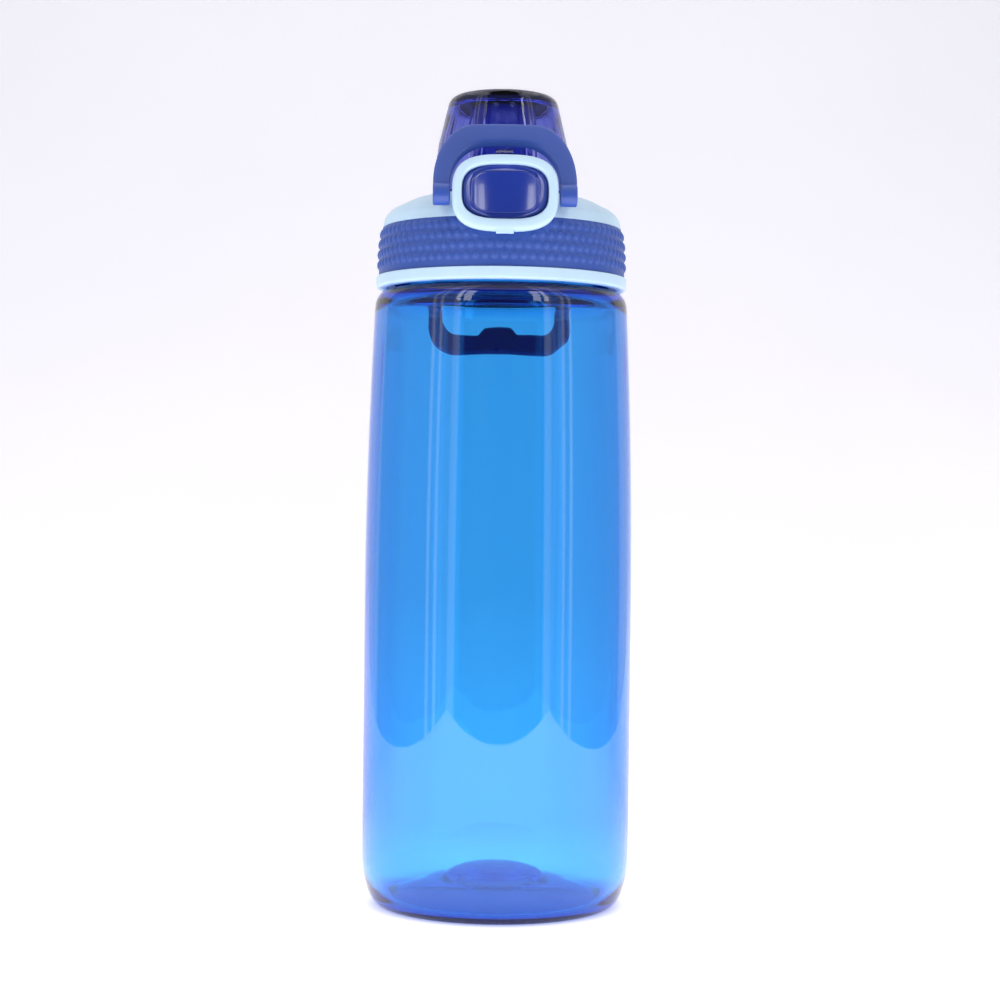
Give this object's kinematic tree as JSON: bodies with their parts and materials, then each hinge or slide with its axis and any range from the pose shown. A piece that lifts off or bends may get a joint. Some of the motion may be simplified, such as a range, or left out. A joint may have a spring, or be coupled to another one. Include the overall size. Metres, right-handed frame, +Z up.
{
  "type": "sports water bottle",
  "caption": "Clear rigid drinking bottle with a screw lid, push-button flip cap over a spout, swinging lock ring and rear carry loop.",
  "frame": {"origin": "centre of the base on the surface that the bottle stands on", "axes": "+Z up along the bottle's axis, button and lock ring towards -Y, carry loop towards +Y"},
  "size_m": [0.078, 0.0808, 0.2363],
  "materials": {
    "clear_body": "clear blue, polished",
    "clear_cap": "clear dark blue, polished",
    "pale_plastic": "fine satin",
    "navy_plastic": "satin",
    "ring_plastic": "satin",
    "button_plastic": "polished",
    "soft_grip": "soft moulded dimples",
    "silicone": "matt",
    "navy_silicone": "matt",
    "seal_rubber": "matt",
    "steel": "drawn wire"
  },
  "bodies": {
    "bottle": {"bottle_body": "clear_body"},
    "gasket": {"neck_gasket": "silicone"},
    "lid": {"lid_liner": "navy_plastic", "lid_shell": "pale_plastic", "grip_band": "soft_grip", "button_bezel": "pale_plastic", "button_spring": "steel", "cap_hinge_pin": "steel", "cap_spring": "steel", "loop_pins": "steel", "spout": "navy_plastic", "spout_o_ring": "seal_rubber", "vent_valve": "silicone"},
    "cap": {"flip_cap": "clear_cap", "cap_seal": "navy_silicone"},
    "ring": {"lock_ring": "ring_plastic"},
    "button": {"latch_button": "button_plastic"},
    "loop": {"carry_loop": "navy_plastic"}
  },
  "joints": [
    {"name": "lid_lift", "type": "slide", "parent": "bottle", "child": "gasket", "axis": [0, 0, 1], "range_m": [0, 0.01001]},
    {"name": "lid_turn", "type": "hinge", "parent": "gasket", "child": "lid", "pos_m": [0, 0, 0.19], "axis": [0, 0, 1], "range_deg": [0, 450]},
    {"name": "cap_flip", "type": "hinge", "parent": "lid", "child": "cap", "pos_m": [0, 0.0235, 0.2086], "axis": [-1, 0, 0], "range_deg": [0, 110]},
    {"name": "ring_swing", "type": "hinge", "parent": "lid", "child": "ring", "pos_m": [0, -0.0347, 0.2024], "axis": [1, 0, 0], "range_deg": [0, 190]},
    {"name": "button_press", "type": "slide", "parent": "lid", "child": "button", "axis": [0, 1, 0], "range_m": [0, 0.0015], "stiffness_N_per_m": 600, "springref_m": -0.002, "deforming": ["button_spring"]},
    {"name": "loop_swing", "type": "hinge", "parent": "lid", "child": "loop", "pos_m": [0, 0.0354, 0.2016], "axis": [-1, 0, 0], "range_deg": [-180, 0]}
  ],
  "couplings": [
    {"joint": "lid_lift", "follows": "lid_turn", "m_per_rad": 0.0012732}
  ]
}
